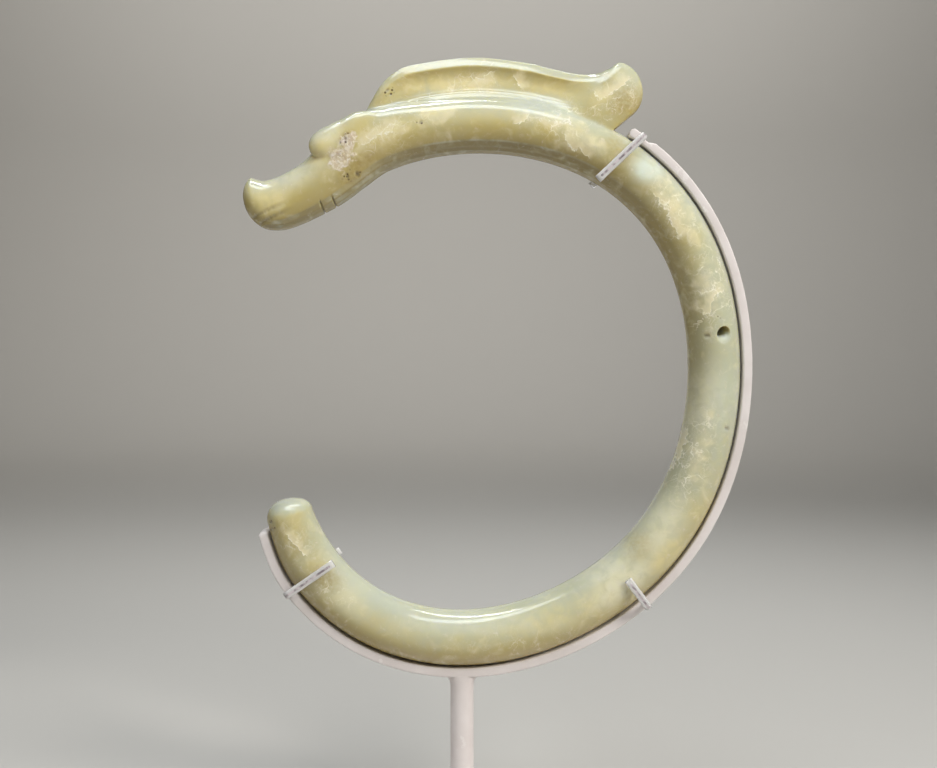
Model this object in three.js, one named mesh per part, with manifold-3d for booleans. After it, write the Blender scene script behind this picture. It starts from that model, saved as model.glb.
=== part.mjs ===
// A carved jade dragon, bent into a C, held upright in a painted metal cradle.
// Millimetres, +Z up. The C lies in the XZ plane and opens towards -X.
// The origin is the centre of the foot's underside, on the axis of the stem.

import * as THREE from 'three';
import { mergeVertices } from 'three/addons/utils/BufferGeometryUtils.js';
import Module from 'manifold-3d';

// Body: the centreline is a circle drawn out of round by three slow waves.
// Angles are in degrees about the ring's centre, counted from +X towards +Z.
const RING_CENTRE = { x: 9, z: 200 };
const RING_RADIUS = 103.3;
const RING_WAVES = [
  { count: 2, height: 6.5, phase: 86 },
  { count: 3, height: 2.6, phase: 11 },
  { count: 4, height: 1.7, phase: -38 },
];
const BODY_HALF_HEIGHT = 11.3;
const BODY_SWELL = { height: 0.4, angle: 90 };
const BODY_HALF_DEPTH = 10.7;
const NAPE_RISE = { height: 3.4, from: 98, to: 114.5 };
const NECK_ANGLE = 114.5;
const TAIL_ANGLE = -147.8;
const TAIL_TRIM = { height: 2.8, from: -132 };
const TAIL_ROUNDING = { sweep: 3, shrink: 0.3 };

// Head: ribs from the jaw to the tip of the snout, each with its top, its underside and its half depth.
// Its lines run on to the nape, so that they meet the body's without a kink.
const NAPE_ANGLE = 107.5;
const HEAD_RIBS = [
  { top: [-49.6, 308.0], under: [-40.4, 281.2], depth: 10.6 },
  { top: [-58.8, 300.8], under: [-49.2, 274.7], depth: 10.4 },
  { top: [-65.4, 292.6], under: [-58.0, 269.8], depth: 9.9 },
  { top: [-72.3, 287.9], under: [-66.9, 265.6], depth: 9.4 },
  { top: [-77.9, 285.1], under: [-74.1, 263.2], depth: 9.0 },
  { top: [-83.2, 283.6], under: [-79.6, 262.9], depth: 8.7 },
  { top: [-86.6, 284.3], under: [-83.5, 263.8], depth: 8.5 },
  { top: [-88.7, 284.8], under: [-86.9, 266.0], depth: 8.0 },
  { top: [-90.5, 283.0], under: [-89.5, 269.0], depth: 6.5 },
  { top: [-91.6, 280.2], under: [-91.2, 272.8], depth: 3.9 },
  { top: [-92.0, 276.7], under: [-92.0, 276.7], depth: 0 },
];
const EYE = { front: [-62.6, 295.2], back: [-40.0, 309.0], side: 4.9, radius: 5.4, flatten: 0.86 };
// The eye is a spindle: shares of its radius, from its blunt front (0) to its drawn-out back (1).
const EYE_PROFILE = [
  { at: 0, radius: 0 },
  { at: 0.04, radius: 0.5 },
  { at: 0.14, radius: 0.85 },
  { at: 0.3, radius: 1 },
  { at: 0.47, radius: 0.92 },
  { at: 0.66, radius: 0.72 },
  { at: 0.84, radius: 0.44 },
  { at: 1, radius: 0 },
];
const NOSTRIL = { x: -91.5, z: 279, side: 2.9, radius: 1.3, depth: 1.8, taper: 0.7 };

// Mane: its edge from the nape to the curled rear lobe, with the ring angle that each rib of it springs from.
const MANE_RIBS = [
  { edge: [-42.4, 309.0], root: 113.4, round: 1, fullness: 0.7 },
  { edge: [-34.5, 322.8], root: 109.5, round: 0.8, fullness: 0.75 },
  { edge: [-27.7, 329.2], root: 106, round: 0.3, fullness: 0.75 },
  { edge: [-19.3, 332.2], root: 102.2, round: 0, fullness: 0.8 },
  { edge: [4.0, 335.0], root: 91.7, round: 0, fullness: 0.8 },
  { edge: [26.0, 333.0], root: 82.2, round: 0, fullness: 0.8 },
  { edge: [37.9, 330.3], root: 77.4, round: 0, fullness: 0.85 },
  { edge: [48.0, 328.2], root: 73.4, round: 0.35, fullness: 0.9 },
  { edge: [55.7, 328.1], root: 70.6, round: 0.8, fullness: 1 },
  { edge: [60.8, 330.0], root: 69, round: 1, fullness: 1 },
  { edge: [66.6, 332.9], root: 67.3, round: 1, fullness: 1 },
  { edge: [72.9, 329.0], root: 66, round: 1, fullness: 1 },
  { edge: [75.9, 320.4], root: 64.7, round: 1, fullness: 1 },
  { edge: [72.6, 312.0], root: 64.1, round: 1, fullness: 1 },
  { edge: [60.5, 303.5], root: 63.6, round: 1, fullness: 0.95 },
];
const MANE_ROOT_HEIGHT = 5;
// Half thickness of the mane from its root (0) to its edge (1): flare, hollow groove, then a bevelled edge.
const MANE_PROFILE = [
  { at: 0, grooved: 6.4, round: 4.6 },
  { at: 0.2, grooved: 5.9, round: 4.5 },
  { at: 0.32, grooved: 4.6, round: 4.4 },
  { at: 0.45, grooved: 3.5, round: 4.2 },
  { at: 0.6, grooved: 2.7, round: 3.8 },
  { at: 0.73, grooved: 2.8, round: 3.2 },
  { at: 0.82, grooved: 3.3, round: 2.6 },
  { at: 0.92, grooved: 1.9, round: 1.7 },
  { at: 1, grooved: 0.5, round: 0.5 },
];

// Hole through the back, drilled from both faces so that it narrows in the middle.
const HOLE = { angle: 12.2, offset: 0.6, tilt: 9, mouth: 3.4, waist: 1.4, depth: 14 };

// Cradle: the rail lies a gap outside the body, and its pieces keep a smaller gap where they are joined.
const RAIL = { from: -144, to: 59.6, thickness: 3.9, depth: 9.6, chamfer: 0.5 };
const RAIL_GAP = 0.5;
const JOIN_GAP = 0.3;
const STEM = { radius: 5, flare: 2.6, flareHeight: 3.6 };
const FOOT = { width: 130, depth: 92, height: 7, corner: 9, chamfer: 0.8 };
const PRONG = { width: 2.6, thickness: 1.2, chamfer: 0.35, clearance: 0.7 };
const PRONG_PLACES = [
  { name: 'lower_left', leg: -131.3, tip: -130.6, reach: 10.3 },
  { name: 'lower_right', leg: -54.5, tip: -54, reach: 0.6 },
  { name: 'top_right', leg: 57.1, tip: 60.4, reach: 11.4 },
];

// How finely the round forms are cut
const BODY_SIDES = 20;
const BODY_STEPS = 74;
const HEAD_STEPS = 30;
const TAIL_STEPS = 4;
const MANE_STEPS = 44;
const EYE_SIDES = 16;
const NOSTRIL_SIDES = 10;
const HOLE_SIDES = 20;
const RAIL_STEPS = 52;
const STEM_SIDES = 20;
const FLARE_STEPS = 4;
const FOOT_CORNER_STEPS = 6;
const PRONG_BEND_STEPS = 5;
const TANGENT_STEP = 0.5;
const MERGE_DISTANCE = 1e-4;

const { clamp, degToRad, lerp, smoothstep } = THREE.MathUtils;
const QUARTER_TURN = Math.PI / 2;

const wasm = await Module();
wasm.setup();

// Points and outward directions along the ring

function ringRadius(angle) {
  return RING_WAVES.reduce(
    (radius, wave) => radius + wave.height * Math.cos(degToRad(wave.count * (angle - wave.phase))),
    RING_RADIUS,
  );
}

function ringPoint(angle) {
  const radius = ringRadius(angle);
  const turn = degToRad(angle);
  return new THREE.Vector3(RING_CENTRE.x + radius * Math.cos(turn), 0, RING_CENTRE.z + radius * Math.sin(turn));
}

function ringOutward(angle) {
  const along = ringPoint(angle + TANGENT_STEP).sub(ringPoint(angle - TANGENT_STEP)).normalize();
  return new THREE.Vector3(along.z, 0, -along.x);
}

function offsetPoint(angle, distance) {
  return ringPoint(angle).addScaledVector(ringOutward(angle), distance);
}

function bodyHalfHeight(angle) {
  return BODY_HALF_HEIGHT + BODY_SWELL.height * Math.cos(degToRad(2 * (angle - BODY_SWELL.angle)));
}

// Distance from the centreline to the outside of the body, cut back towards the tail
function bodyOutside(angle) {
  return bodyHalfHeight(angle) - TAIL_TRIM.height * smoothstep(-angle, -TAIL_TRIM.from, -TAIL_ANGLE);
}

function bodyRib(angle, scale = 1) {
  const rise = NAPE_RISE.height * smoothstep(angle, NAPE_RISE.from, NAPE_RISE.to);
  return {
    top: offsetPoint(angle, scale * bodyOutside(angle) + rise),
    under: offsetPoint(angle, -scale * bodyHalfHeight(angle)),
    depth: scale * BODY_HALF_DEPTH,
  };
}

// Curves, solids and meshes

function splineThrough(points) {
  return new THREE.CatmullRomCurve3(points, false, 'catmullrom');
}

function inPlane([x, z]) {
  return new THREE.Vector3(x, 0, z);
}

// Skins a row of rings, a ring of one point being a closed end.
function loft(rings) {
  const positions = [];
  const faces = [];
  const starts = [];
  for (const ring of rings) {
    starts.push(positions.length / 3);
    for (const point of ring) positions.push(point.x, point.y, point.z);
  }
  for (let k = 0; k + 1 < rings.length; k += 1) {
    const [near, far] = [rings[k].length, rings[k + 1].length];
    const sides = Math.max(near, far);
    for (let i = 0; i < sides; i += 1) {
      const j = (i + 1) % sides;
      const [a, b] = [starts[k] + (i % near), starts[k] + (j % near)];
      const [c, d] = [starts[k + 1] + (i % far), starts[k + 1] + (j % far)];
      if (near > 1) faces.push(a, c, b);
      if (far > 1) faces.push(b, c, d);
    }
  }
  const geometry = new THREE.BufferGeometry();
  geometry.setAttribute('position', new THREE.Float32BufferAttribute(positions, 3));
  geometry.setIndex(faces);
  return geometry;
}

function middleOf(ring) {
  const middle = new THREE.Vector3();
  for (const point of ring) middle.add(point);
  return middle.divideScalar(ring.length);
}

function solidFrom(geometry) {
  const bare = geometry.clone();
  bare.deleteAttribute('normal');
  bare.deleteAttribute('uv');
  const merged = mergeVertices(bare, MERGE_DISTANCE);
  return new wasm.Manifold(new wasm.Mesh({
    numProp: 3,
    vertProperties: new Float32Array(merged.attributes.position.array),
    triVerts: new Uint32Array(merged.index.array),
  }));
}

function geometryFrom(solid) {
  const joined = solid.getMesh();
  const geometry = new THREE.BufferGeometry();
  geometry.setAttribute('position', new THREE.BufferAttribute(joined.vertProperties, 3));
  geometry.setIndex(new THREE.BufferAttribute(joined.triVerts, 1));
  geometry.computeVertexNormals();
  return geometry;
}

function lathe(profile, sides) {
  return new THREE.LatheGeometry(profile.map(([radius, height]) => new THREE.Vector2(radius, height)), sides);
}

// Dragon: body with head and tail

function sectionRing({ top, under, depth }) {
  const middle = top.clone().add(under).multiplyScalar(0.5);
  const half = top.clone().sub(under).multiplyScalar(0.5);
  const ring = [];
  for (let i = 0; i < BODY_SIDES; i += 1) {
    const turn = (2 * Math.PI * i) / BODY_SIDES;
    const point = middle.clone().addScaledVector(half, Math.cos(turn));
    point.y = depth * Math.sin(turn);
    ring.push(point);
  }
  return ring;
}

function headRings() {
  const carved = HEAD_RIBS.map(({ top, under, depth }) => ({ top: inPlane(top), under: inPlane(under), depth }));
  const ribs = [...carved.reverse(), bodyRib(NECK_ANGLE), bodyRib(NAPE_ANGLE)];
  const topLine = splineThrough(ribs.map((rib) => rib.top));
  const underLine = splineThrough(ribs.map((rib) => rib.under));
  const depthLine = splineThrough(ribs.map((rib) => new THREE.Vector3(rib.depth, 0, 0)));
  const neckAt = (ribs.length - 2) / (ribs.length - 1);
  const rings = [[topLine.getPoint(0)]];
  for (let k = 1; k < HEAD_STEPS; k += 1) {
    const at = (neckAt * k) / HEAD_STEPS;
    const rib = { top: topLine.getPoint(at), under: underLine.getPoint(at), depth: depthLine.getPoint(at).x };
    rings.push(sectionRing(rib));
  }
  return rings;
}

function bodyRings() {
  const rings = [];
  const tailStart = TAIL_ANGLE + TAIL_ROUNDING.sweep;
  for (let k = 0; k <= BODY_STEPS; k += 1) {
    rings.push(sectionRing(bodyRib(lerp(NECK_ANGLE, tailStart, k / BODY_STEPS))));
  }
  for (let k = 1; k <= TAIL_STEPS; k += 1) {
    const turn = QUARTER_TURN * (k / TAIL_STEPS);
    const angle = tailStart - TAIL_ROUNDING.sweep * Math.sin(turn);
    rings.push(sectionRing(bodyRib(angle, 1 - TAIL_ROUNDING.shrink * (1 - Math.cos(turn)))));
  }
  rings.push([middleOf(rings.at(-1))]);
  return rings;
}

// Dragon: mane

function maneRings() {
  const edgeLine = splineThrough(MANE_RIBS.map(({ edge }) => inPlane(edge)));
  const valueLine = splineThrough(
    MANE_RIBS.map(({ root, round, fullness }) => new THREE.Vector3(root, round, fullness)));
  const rings = [];
  for (let k = 0; k <= MANE_STEPS; k += 1) {
    const edge = edgeLine.getPoint(k / MANE_STEPS);
    const { x: rootAngle, y: round, z: fullness } = valueLine.getPoint(k / MANE_STEPS);
    const root = offsetPoint(rootAngle, MANE_ROOT_HEIGHT);
    const face = MANE_PROFILE.map((level) => {
      const point = root.clone().lerp(edge, level.at);
      point.y = -fullness * lerp(level.grooved, level.round, clamp(round, 0, 1));
      return point;
    });
    const back = face.map((point) => new THREE.Vector3(point.x, -point.y, point.z)).reverse();
    rings.push([...face, ...back]);
  }
  return [[middleOf(rings[0])], ...rings, [middleOf(rings.at(-1))]];
}

// Dragon: eyes, nostrils and the hole

function eyeGeometry(side) {
  const front = inPlane(EYE.front);
  const along = inPlane(EYE.back).sub(front);
  const length = along.length();
  const geometry = lathe(EYE_PROFILE.map(({ at, radius }) => [radius * EYE.radius, at * length]), EYE_SIDES);
  geometry.applyQuaternion(new THREE.Quaternion().setFromUnitVectors(
    new THREE.Vector3(0, 1, 0), along.normalize()));
  geometry.scale(1, EYE.flatten, 1);
  return geometry.translate(front.x, side * EYE.side, front.z);
}

function nostrilGeometry(side) {
  const { radius, depth, taper } = NOSTRIL;
  const profile = [[0, -depth], [taper * radius, -taper * depth], [radius, 0], [radius, depth], [0, depth]];
  const geometry = lathe(profile, NOSTRIL_SIDES);
  geometry.rotateZ(QUARTER_TURN);
  return geometry.translate(NOSTRIL.x, side * NOSTRIL.side, NOSTRIL.z);
}

function holeGeometry() {
  const { mouth, waist, depth } = HOLE;
  const widest = waist + ((mouth - waist) * depth) / BODY_HALF_DEPTH;
  const geometry = lathe([[0, -depth], [widest, -depth], [waist, 0], [widest, depth], [0, depth]], HOLE_SIDES);
  geometry.rotateZ(degToRad(HOLE.tilt));
  const place = offsetPoint(HOLE.angle, HOLE.offset);
  return geometry.translate(place.x, 0, place.z);
}

function dragonGeometry() {
  let solid = solidFrom(loft([...headRings(), ...bodyRings()]));
  solid = solid.add(solidFrom(loft(maneRings())));
  for (const side of [-1, 1]) {
    solid = solid.add(solidFrom(eyeGeometry(side)));
    solid = solid.subtract(solidFrom(nostrilGeometry(side)));
  }
  return geometryFrom(solid.subtract(solidFrom(holeGeometry())));
}

// Cradle: rail, stem, foot and prongs

function railInner(angle) {
  return bodyOutside(angle) + RAIL_GAP;
}

function railLine(from, to, lift) {
  const line = [];
  for (let k = 0; k <= RAIL_STEPS; k += 1) {
    const angle = lerp(from, to, k / RAIL_STEPS);
    const point = offsetPoint(angle, railInner(angle) + lift);
    line.push(new THREE.Vector2(point.x, point.z));
  }
  return line;
}

function chamferedPlate(shape, thickness, chamfer, curveSegments) {
  return new THREE.ExtrudeGeometry(shape, {
    depth: thickness - 2 * chamfer,
    bevelThickness: chamfer,
    bevelSize: chamfer,
    bevelSegments: 1,
    curveSegments,
  });
}

function railGeometry() {
  const { from, to, thickness, depth, chamfer } = RAIL;
  const outline = [...railLine(from, to, thickness - chamfer), ...railLine(to, from, chamfer)];
  return chamferedPlate(new THREE.Shape(outline), depth, chamfer);
}

// The top of the stem spreads along the rail, never past its two faces.
function stemGeometry() {
  const { radius, flare, flareHeight } = STEM;
  const railLowest = Math.min(...railLine(RAIL.from, RAIL.to, RAIL.thickness).map((point) => point.y));
  const top = railLowest - JOIN_GAP;
  const stemRing = (height, spread) => {
    const ring = [];
    for (let i = 0; i < STEM_SIDES; i += 1) {
      const turn = (2 * Math.PI * i) / STEM_SIDES;
      ring.push(new THREE.Vector3((radius + spread) * Math.cos(turn), -radius * Math.sin(turn), height));
    }
    return ring;
  };
  const rings = [stemRing(FOOT.height + JOIN_GAP, 0)];
  for (let k = 0; k <= FLARE_STEPS; k += 1) {
    const turn = QUARTER_TURN * (k / FLARE_STEPS);
    rings.push(stemRing(top - flareHeight * (1 - Math.sin(turn)), flare * (1 - Math.cos(turn))));
  }
  return loft([[middleOf(rings[0])], ...rings, [middleOf(rings.at(-1))]]);
}

function footGeometry() {
  const { chamfer, corner } = FOOT;
  const [halfWidth, halfDepth] = [FOOT.width / 2 - chamfer, FOOT.depth / 2 - chamfer];
  const [cornerX, cornerY] = [halfWidth - corner, halfDepth - corner];
  const shape = new THREE.Shape();
  shape.moveTo(-cornerX, -halfDepth);
  shape.absarc(cornerX, -cornerY, corner, -QUARTER_TURN, 0);
  shape.absarc(cornerX, cornerY, corner, 0, QUARTER_TURN);
  shape.absarc(-cornerX, cornerY, corner, QUARTER_TURN, 2 * QUARTER_TURN);
  shape.absarc(-cornerX, -cornerY, corner, 2 * QUARTER_TURN, 3 * QUARTER_TURN);
  return chamferedPlate(shape, FOOT.height, chamfer, FOOT_CORNER_STEPS);
}

function prongEnds(place) {
  return {
    leg: offsetPoint(place.leg, railInner(place.leg) + RAIL.thickness / 2),
    tip: offsetPoint(place.tip, -place.reach),
  };
}

// A bent strip in the plane of its bend: x runs from the leg to the tip, y away from the rail.
function prongGeometry(place) {
  const { width, thickness, chamfer, clearance } = PRONG;
  const { leg, tip } = prongEnds(place);
  const barEnd = leg.distanceTo(tip) - thickness / 2;
  const legHalf = RAIL.thickness / 2 - chamfer;
  const legStart = RAIL.depth / 2 + JOIN_GAP + chamfer;
  const inner = BODY_HALF_DEPTH + clearance + chamfer;
  const outer = inner + thickness;
  const shape = new THREE.Shape();
  shape.moveTo(-legHalf, legStart);
  shape.lineTo(legHalf, legStart);
  shape.lineTo(legHalf, inner);
  shape.lineTo(barEnd, inner);
  shape.absarc(barEnd, inner + thickness / 2, thickness / 2, -QUARTER_TURN, QUARTER_TURN);
  shape.absarc(legHalf, outer - 2 * legHalf, 2 * legHalf, QUARTER_TURN, 2 * QUARTER_TURN);
  const geometry = chamferedPlate(shape, width + 2 * chamfer, chamfer, PRONG_BEND_STEPS);
  return geometry.translate(0, 0, -width / 2);
}

function prongPlacement(place, side) {
  const { leg, tip } = prongEnds(place);
  const inward = tip.sub(leg).normalize();
  const away = new THREE.Vector3(0, side, 0);
  const across = inward.clone().cross(away);
  return new THREE.Matrix4().makeBasis(inward, away, across).setPosition(leg);
}

// Assembly

const jade = { color: 0xb9bd98, roughness: 0.25, metalness: 0 };
const paint = { color: 0xc9c2bc, roughness: 0.5, metalness: 0 };
const sleeve = { color: 0xd6d0cc, roughness: 0.2, metalness: 0 };

function mesh(name, geometry, look) {
  const part = new THREE.Mesh(geometry, new THREE.MeshStandardMaterial(look));
  part.name = name;
  return part;
}

const cradle = new THREE.Group();

const rail = mesh('cradle_rail', railGeometry(), paint);
rail.rotation.x = QUARTER_TURN;
rail.position.y = RAIL.depth / 2 - RAIL.chamfer;
cradle.add(rail);

cradle.add(mesh('stem', stemGeometry(), paint));

const foot = mesh('foot', footGeometry(), paint);
foot.position.z = FOOT.chamfer;
cradle.add(foot);

for (const place of PRONG_PLACES) {
  for (const [face, side] of [['front', -1], ['back', 1]]) {
    const prong = mesh(`prong_${face}_${place.name}`, prongGeometry(place), sleeve);
    prong.applyMatrix4(prongPlacement(place, side));
    cradle.add(prong);
  }
}

const dragonOnCradle = new THREE.Group();
dragonOnCradle.add(mesh('dragon', dragonGeometry(), jade), cradle);

export default dragonOnCradle;
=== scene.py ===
import math

import bmesh
import bpy
from mathutils import Matrix, Vector, noise
from mathutils.bvhtree import BVHTree


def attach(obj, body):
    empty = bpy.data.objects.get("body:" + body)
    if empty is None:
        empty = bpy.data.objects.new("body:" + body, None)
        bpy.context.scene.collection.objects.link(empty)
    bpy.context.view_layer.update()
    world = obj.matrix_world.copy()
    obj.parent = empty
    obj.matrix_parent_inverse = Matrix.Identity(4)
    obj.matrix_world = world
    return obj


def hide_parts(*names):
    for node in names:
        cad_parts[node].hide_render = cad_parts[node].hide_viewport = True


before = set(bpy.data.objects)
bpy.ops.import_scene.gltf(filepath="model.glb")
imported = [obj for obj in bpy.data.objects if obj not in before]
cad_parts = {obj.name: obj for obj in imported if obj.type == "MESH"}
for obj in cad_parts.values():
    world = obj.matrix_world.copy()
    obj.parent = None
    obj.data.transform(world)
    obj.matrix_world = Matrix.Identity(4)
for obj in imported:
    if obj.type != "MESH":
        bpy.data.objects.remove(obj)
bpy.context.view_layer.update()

mm = 0.001  # lengths below are millimetres unless a note says otherwise
print("frame loaded:", len(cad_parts), "nodes")


# small helpers for curves and meshes

def clamp(value):
    return min(max(value, 0), 1)


def smoothStep(value, low, high):
    t = clamp((value - low) / (high - low))
    return t * t * (3 - 2 * t)


def mix(a, b, t):
    return a + (b - a) * t


def hermite(start, end, leave, arrive, t):
    first = start * (2 * t**3 - 3 * t**2 + 1) + leave * (t**3 - 2 * t**2 + t)
    return first + end * (3 * t**2 - 2 * t**3) + arrive * (t**3 - t**2)


def splineAt(points, at):
    last = len(points) - 1
    place = clamp(at) * last
    k = min(int(place), last - 1)
    b = points[k]
    c = points[k + 1]
    a = points[k - 1] if k > 0 else b * 2 - c
    d = points[k + 2] if k + 2 <= last else c * 2 - b
    return hermite(b, c, (c - a) * 0.5, (d - b) * 0.5, place - k)


def circle(sides):
    turns = [2 * math.pi * i / sides for i in range(sides)]
    return [(math.cos(turn), math.sin(turn)) for turn in turns]


def quarterTurn(steps):
    turns = [0.5 * math.pi * k / steps for k in range(steps + 1)]
    return [(math.cos(turn), math.sin(turn)) for turn in turns]


def loft(rings):
    # a ring of one point closes an end
    points = []
    faces = []
    starts = []
    for ringPoints in rings:
        starts.append(len(points))
        points.extend(ringPoints)
    for k in range(len(rings) - 1):
        near = len(rings[k])
        far = len(rings[k + 1])
        sides = max(near, far)
        for i in range(sides):
            j = (i + 1) % sides
            a = starts[k] + i % near
            b = starts[k] + j % near
            c = starts[k + 1] + i % far
            d = starts[k + 1] + j % far
            if near == 1:
                faces.append((a, c, d))
            elif far == 1:
                faces.append((a, c, b))
            else:
                faces.append((a, c, d, b))
    return points, faces


def middleOf(ringPoints):
    return sum(ringPoints, Vector()) / len(ringPoints)


def capped(rings):
    return [[middleOf(rings[0])], *rings, [middleOf(rings[-1])]]


def addObject(name, data):
    made = bpy.data.objects.new(name, data)
    bpy.context.scene.collection.objects.link(made)
    return made


def newPiece(name, points, faces):
    mesh = bpy.data.meshes.new(name)
    mesh.from_pydata(points, [], faces)
    mesh.shade_smooth()
    return addObject(name, mesh)


def makePiece(name, rings):
    points, faces = loft(rings)
    piece = newPiece(name, [point * mm for point in points], faces)
    shell = bmesh.new()
    shell.from_mesh(piece.data)
    bmesh.ops.recalc_face_normals(shell, faces=shell.faces)
    shell.to_mesh(piece.data)
    shell.free()
    return piece


def combine(piece, other, operation):
    change = piece.modifiers.new("combine", "BOOLEAN")
    change.operation = operation
    change.solver = "MANIFOLD"
    change.object = other
    graph = bpy.context.evaluated_depsgraph_get()
    joined = bpy.data.meshes.new_from_object(piece.evaluated_get(graph))
    piece.modifiers.clear()
    old = piece.data
    piece.data = joined
    bpy.data.meshes.remove(old)
    bpy.data.objects.remove(other)


def treeOf(piece):
    mesh = piece.data
    return BVHTree.FromPolygons([v.co for v in mesh.vertices], [p.vertices for p in mesh.polygons])


def settle(piece, look, slotName, *nodes):
    piece.data.materials.clear()
    piece.data.materials.append(look)
    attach(piece, "root")
    if nodes:
        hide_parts(*nodes)


# the C: a circle drawn out of round by slow waves, angles in degrees from +X towards +Z
ringShape = {
    "centre": (9, 200),
    "radius": 103.3,
    "waves": ((2, 6.5, 86), (3, 2.6, 11), (4, 1.7, -38)),  # count, height, phase
    "halfHeight": 11.3,
    "swell": 0.4,
    "swellAngle": 90,
    "halfDepth": 10.7,
    "neck": 114.5,
    "nape": 107.5,
    "napeRise": 3.4,
    "napeFrom": 98,
    "tail": -147.8,
    "tailEnd": -149.1,
    "tailTrim": 2.8,
    "tailTrimFrom": -132,
    "tailSweep": 4,  # degrees taken up by the domed end
    "tailSquareness": 0.95,  # lower is squarer
    "flats": (1, 5, 9, 13),  # ground flats under the jaw and arch, in section steps up from the underside
    "flatsFade": (42, 12),  # ring angles where they die out
    "tangentStep": 0.5,
    "sides": 92,
    "bodySteps": 430,
    "tailSteps": 26,
}


def ringPoint(angle):
    radius = ringShape["radius"]
    for count, height, phase in ringShape["waves"]:
        radius += height * math.cos(math.radians(count * (angle - phase)))
    turn = math.radians(angle)
    x, z = ringShape["centre"]
    return Vector((x + radius * math.cos(turn), 0, z + radius * math.sin(turn)))


def offsetPoint(angle, distance):
    step = ringShape["tangentStep"]
    along = (ringPoint(angle + step) - ringPoint(angle - step)).normalized()
    return ringPoint(angle) + Vector((along.z, 0, -along.x)) * distance


def bodyHalf(angle):
    turn = math.radians(2 * (angle - ringShape["swellAngle"]))
    return ringShape["halfHeight"] + ringShape["swell"] * math.cos(turn)


def bodyOutside(angle):
    trim = smoothStep(angle, ringShape["tailTrimFrom"], ringShape["tail"])
    return bodyHalf(angle) - ringShape["tailTrim"] * trim


def bodyRib(angle, scale=1):
    rise = ringShape["napeRise"] * smoothStep(angle, ringShape["napeFrom"], ringShape["neck"])
    top = offsetPoint(angle, scale * bodyOutside(angle) + rise)
    under = offsetPoint(angle, -scale * bodyHalf(angle))
    return top, under, scale * ringShape["halfDepth"]


def sectionRing(top, under, depth, facet=0):
    middle = (top + under) / 2
    half = (top - under) / 2
    step = 2 * math.pi / ringShape["sides"]
    section = []
    for i in range(ringShape["sides"]):
        rise = math.cos(step * i)
        side = math.sin(step * i)
        up = abs(ringShape["sides"] // 2 - i)  # steps from the underside
        for low, high in zip(ringShape["flats"], ringShape["flats"][1:]):
            if low < up < high:
                share = (up - low) / (high - low)
                rise = mix(rise, -mix(math.cos(low * step), math.cos(high * step), share), facet)
                level = mix(math.sin(low * step), math.sin(high * step), share)
                side = mix(side, math.copysign(level, side), facet)
        point = middle + half * rise
        point.y = depth * side
        section.append(point)
    return section


# head ribs from the jaw to the tip of the snout: top x z, underside x z, half depth
headShape = {
    "ribs": (
        ((-49.6, 308), (-40.4, 281.2), 10.6), ((-58.8, 300.8), (-49.2, 274.7), 10.4),
        ((-65.4, 292.6), (-58, 269.8), 9.9), ((-72.3, 287.9), (-66.9, 265.6), 9.4),
        ((-77.9, 285.1), (-74.1, 263.2), 9), ((-83.2, 283.6), (-79.6, 262.9), 8.7),
        ((-86.6, 284.3), (-83.5, 263.8), 8.5), ((-88.7, 284.8), (-86.9, 266), 8),
        ((-90.5, 283), (-89.5, 269), 6.5), ((-91.6, 280.2), (-91.2, 272.8), 3.9),
        ((-92, 276.7), (-92, 276.7), 0),
    ),
    "spacing": 0.34,  # between rings
    "sampling": 4000,
    "tipShare": 0.25,  # the blunt tip needs rings closer than its middle moves
    "tipSteps": (8, 30, 70, 120, 190, 270),
    "flatsRise": (0.12, 0.4),  # share of the head over which the ground flats come in
}


def ribSplines(ribs):
    tops = [Vector((top[0], 0, top[1])) for top, under, depth in ribs]
    unders = [Vector((under[0], 0, under[1])) for top, under, depth in ribs]
    depths = [Vector((depth, 0, 0)) for top, under, depth in ribs]
    return tops, unders, depths


def headRings():
    tops, unders, depths = ribSplines(headShape["ribs"][::-1])
    for angle in (ringShape["neck"], ringShape["nape"]):
        top, under, depth = bodyRib(angle)
        tops.append(top)
        unders.append(under)
        depths.append(Vector((depth, 0, 0)))
    neckAt = (len(tops) - 2) / (len(tops) - 1)
    rings = [[splineAt(tops, 0)]]
    before = rings[0][0]
    walked = 0
    for k in range(1, headShape["sampling"]):
        at = neckAt * k / headShape["sampling"]
        top = splineAt(tops, at)
        under = splineAt(unders, at)
        middle = (top + under) / 2
        least = headShape["tipShare"] * (top - under).length * neckAt / headShape["sampling"]
        walked += max((middle - before).length, least)
        before = middle
        if walked >= headShape["spacing"] or k in headShape["tipSteps"]:
            facet = smoothStep(at, *headShape["flatsRise"])
            rings.append(sectionRing(top, under, splineAt(depths, at).x, facet))
            walked = 0
    return rings


def bodyRings():
    rings = []
    tailStart = ringShape["tailEnd"] + ringShape["tailSweep"]
    for k in range(ringShape["bodySteps"] + 1):
        angle = mix(ringShape["neck"], tailStart, k / ringShape["bodySteps"])
        facet = 1 - smoothStep(angle, *ringShape["flatsFade"])
        rings.append(sectionRing(*bodyRib(angle), facet))
    for shrink, out in quarterTurn(ringShape["tailSteps"])[1:-1]:
        angle = tailStart - ringShape["tailSweep"] * out
        rings.append(sectionRing(*bodyRib(angle, shrink ** ringShape["tailSquareness"])))
    rings.append([middleOf(rings[-1])])
    return rings


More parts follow.
